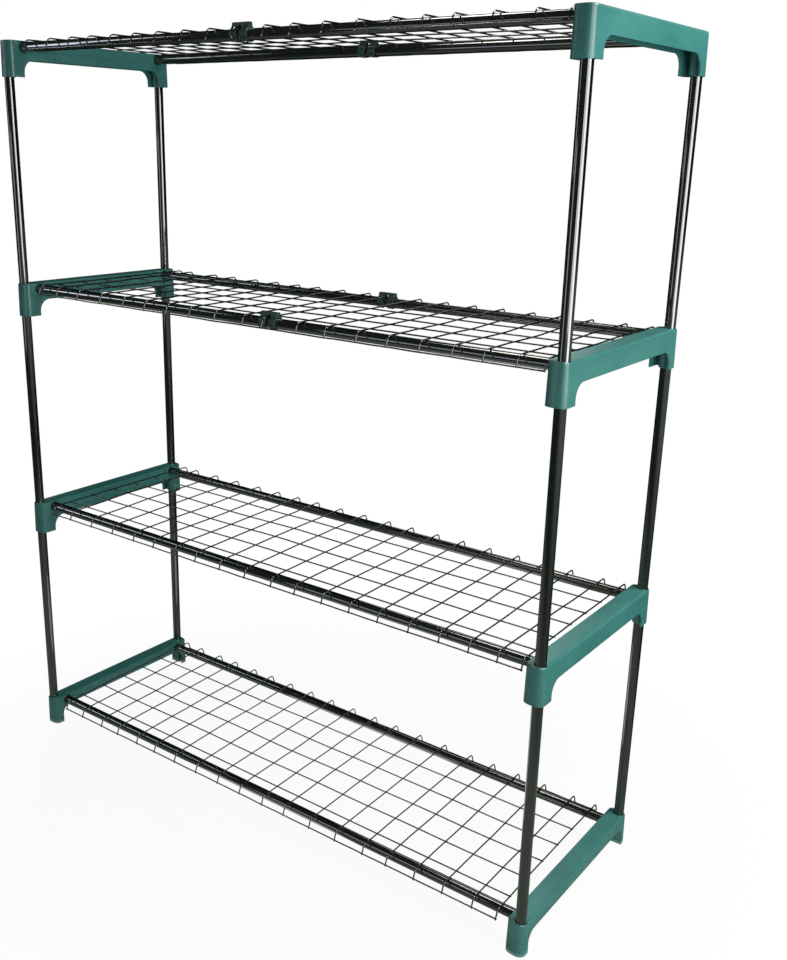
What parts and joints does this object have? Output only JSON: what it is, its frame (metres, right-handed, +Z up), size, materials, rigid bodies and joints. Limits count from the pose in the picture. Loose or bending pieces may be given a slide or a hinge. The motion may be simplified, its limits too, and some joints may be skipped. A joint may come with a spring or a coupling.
{
  "type": "greenhouse staging rack",
  "caption": "Freestanding greenhouse staging rack: open wire shelves with turned-down edges on round tube rails, held by moulded plastic end frames stacked on tube legs.",
  "frame": {"origin": "on the floor, at the middle of the rack's width and depth", "axes": "+Z up, +X along the shelves towards the right end, +Y from the front edge to the back edge"},
  "size_m": [0.9, 0.3, 1.0655],
  "materials": {
    "frame": "satin teal-green moulded plastic",
    "tube": "glossy very dark green painted steel tube",
    "wire": "dark green coated steel wire",
    "clip": "satin dark green moulded plastic"
  },
  "bodies": {
    "rack": {"end_frame_1_left": "frame", "end_frame_1_right": "frame", "end_frame_2_left": "frame", "end_frame_2_right": "frame", "end_frame_3_left": "frame", "end_frame_3_right": "frame", "end_frame_4_left": "frame", "end_frame_4_right": "frame", "rail_1_front": "tube", "rail_1_back": "tube", "rail_2_front": "tube", "rail_2_back": "tube", "rail_3_front": "tube", "rail_3_back": "tube", "rail_4_front": "tube", "rail_4_back": "tube", "wire_shelf_3": "wire", "wire_shelf_4": "wire", "leg_1_front_left": "tube", "leg_1_front_right": "tube", "leg_1_back_left": "tube", "leg_1_back_right": "tube", "leg_2_front_left": "tube", "leg_2_front_right": "tube", "leg_2_back_left": "tube", "leg_2_back_right": "tube", "leg_3_front_left": "tube", "leg_3_front_right": "tube", "leg_3_back_left": "tube", "leg_3_back_right": "tube", "shelf_clip_3_front": "clip", "shelf_clip_3_back": "clip", "shelf_clip_4_front": "clip", "shelf_clip_4_back": "clip"},
    "shelf_1": {"wire_shelf_1": "wire"},
    "shelf_2": {"wire_shelf_2": "wire"}
  },
  "joints": [
    {"name": "shelf_1_lift", "type": "slide", "parent": "rack", "child": "shelf_1", "axis": [0, 0, 1], "range_m": [0, 0.06]},
    {"name": "shelf_2_lift", "type": "slide", "parent": "rack", "child": "shelf_2", "axis": [0, 0, 1], "range_m": [0, 0.06]}
  ]
}
